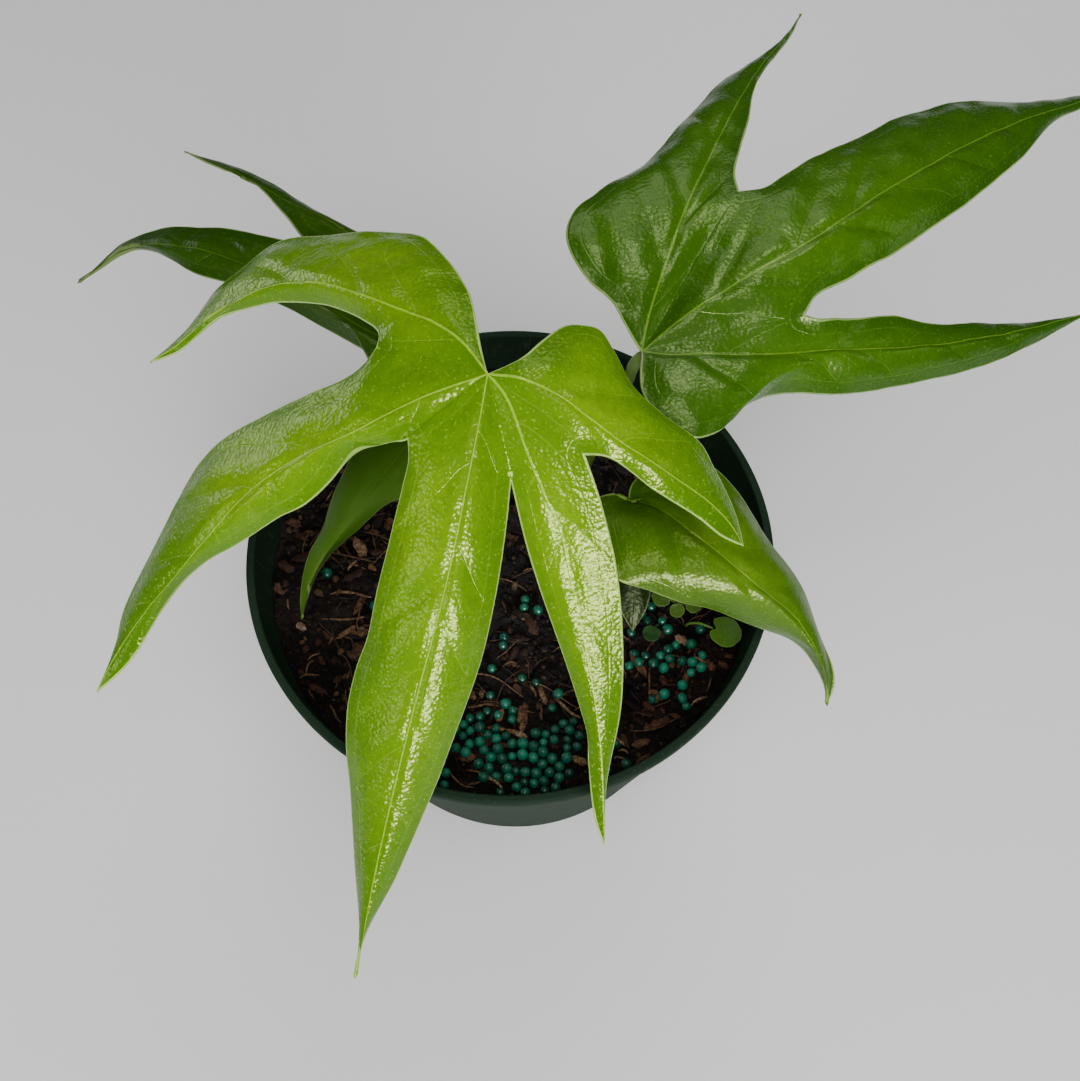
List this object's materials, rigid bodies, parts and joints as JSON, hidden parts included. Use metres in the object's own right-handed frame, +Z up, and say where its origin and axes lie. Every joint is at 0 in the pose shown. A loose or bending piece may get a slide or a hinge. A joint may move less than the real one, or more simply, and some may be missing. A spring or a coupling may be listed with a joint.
{
  "type": "potted anthurium",
  "caption": "Young anthurium with glossy, deeply lobed leaves on slender stalks, growing in bark potting mix in a round dark green nursery pot.",
  "frame": {"origin": "middle of the pot's flat underside, on the surface it stands on", "axes": "+Z up, -Y to the front, where the front leaf's long middle lobe hangs over the rim, +X to the right"},
  "size_m": [0.313, 0.284, 0.1962],
  "materials": {
    "pot_plastic": "satin",
    "potting_mix": "matte",
    "prill_coating": "satin",
    "stem": "matte",
    "bright_leaf": "glossy",
    "dark_leaf": "glossy",
    "shaded_leaf": "glossy",
    "low_leaf": "glossy",
    "young_leaf": "satin",
    "weed_leaf": "matte"
  },
  "bodies": {
    "root": {"pot": "pot_plastic", "potting_mix": "potting_mix", "fertiliser_heap": "prill_coating", "stem": "stem", "leaf_front": "bright_leaf", "leaf_right": "dark_leaf", "leaf_left": "shaded_leaf", "leaf_low": "low_leaf", "leaf_young": "young_leaf", "weed_round_leaf": "weed_leaf", "weed_clover": "weed_leaf", "weed_seedling": "weed_leaf"}
  },
  "joints": []
}
